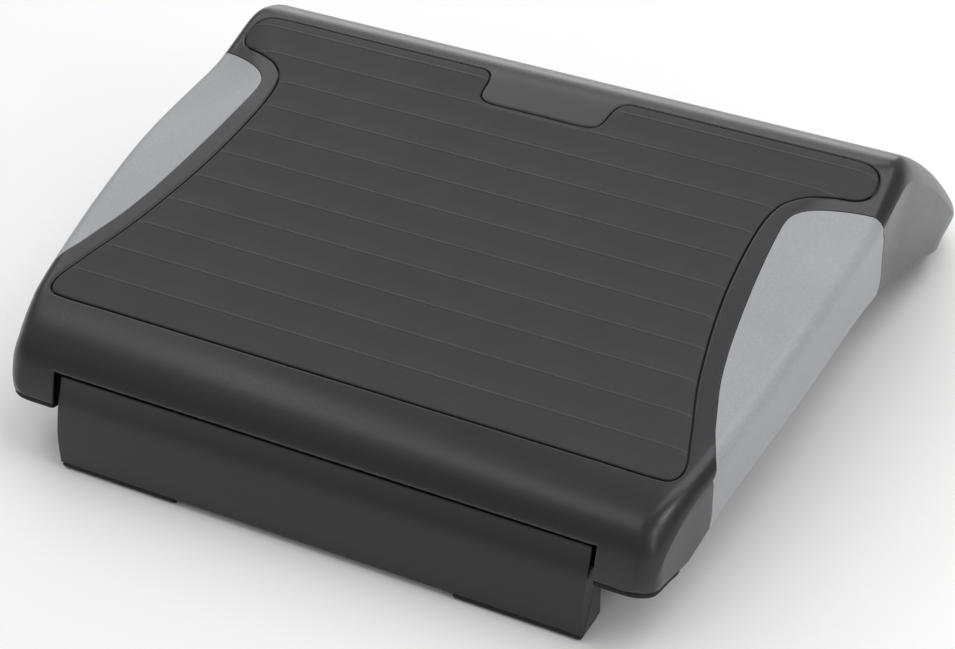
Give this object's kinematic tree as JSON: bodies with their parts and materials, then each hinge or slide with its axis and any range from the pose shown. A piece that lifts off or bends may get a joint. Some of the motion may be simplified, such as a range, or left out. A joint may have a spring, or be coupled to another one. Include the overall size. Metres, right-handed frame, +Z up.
{
  "type": "tilting under-desk footrest",
  "caption": "Wedge-shaped under-desk footrest with a ribbed rubber tread, side covers and a fold-out front leg panel that changes its tilt.",
  "frame": {"origin": "centre of the footprint on the floor, with the leg panel folded out", "axes": "+X to the right of the person using it, +Y away from that person towards the high toe edge, +Z up"},
  "size_m": [0.45, 0.484, 0.1379],
  "materials": {
    "shell": "fine-grained moulded charcoal plastic",
    "mat": "matte charcoal rubber",
    "cover": "fine-grained silver-grey plastic",
    "leg": "fine-grained moulded charcoal plastic",
    "bracket": "glass-filled black plastic",
    "foot_rubber": "matte black rubber",
    "screws": "zinc-plated",
    "pin": "ground steel",
    "washer": "matte"
  },
  "bodies": {
    "platform": {"platform_shell": "shell", "tread_mat": "mat", "side_cover_left": "cover", "side_cover_right": "cover", "side_cover_screws_left": "screws", "side_cover_screws_right": "screws", "front_foot_left": "foot_rubber", "front_foot_right": "foot_rubber", "rear_foot_left": "foot_rubber", "rear_foot_right": "foot_rubber", "hinge_bracket_left": "bracket", "hinge_bracket_right": "bracket", "bracket_screws_left": "screws", "bracket_screws_right": "screws", "hinge_pin_left": "pin", "hinge_pin_right": "pin", "pin_clip_left": "pin", "pin_clip_right": "pin", "friction_washer_left": "washer", "friction_washer_right": "washer", "stop_pin_left": "pin", "stop_pin_right": "pin"},
    "leg": {"leg_panel": "leg", "leg_back_cover": "leg", "leg_cover_screws": "screws", "leg_pad_left": "foot_rubber", "leg_pad_right": "foot_rubber"}
  },
  "joints": [
    {"name": "leg_hinge", "type": "hinge", "parent": "platform", "child": "leg", "pos_m": [0, -0.225, 0.0515], "axis": [1, 0, 0], "range_deg": [0, 96]}
  ]
}
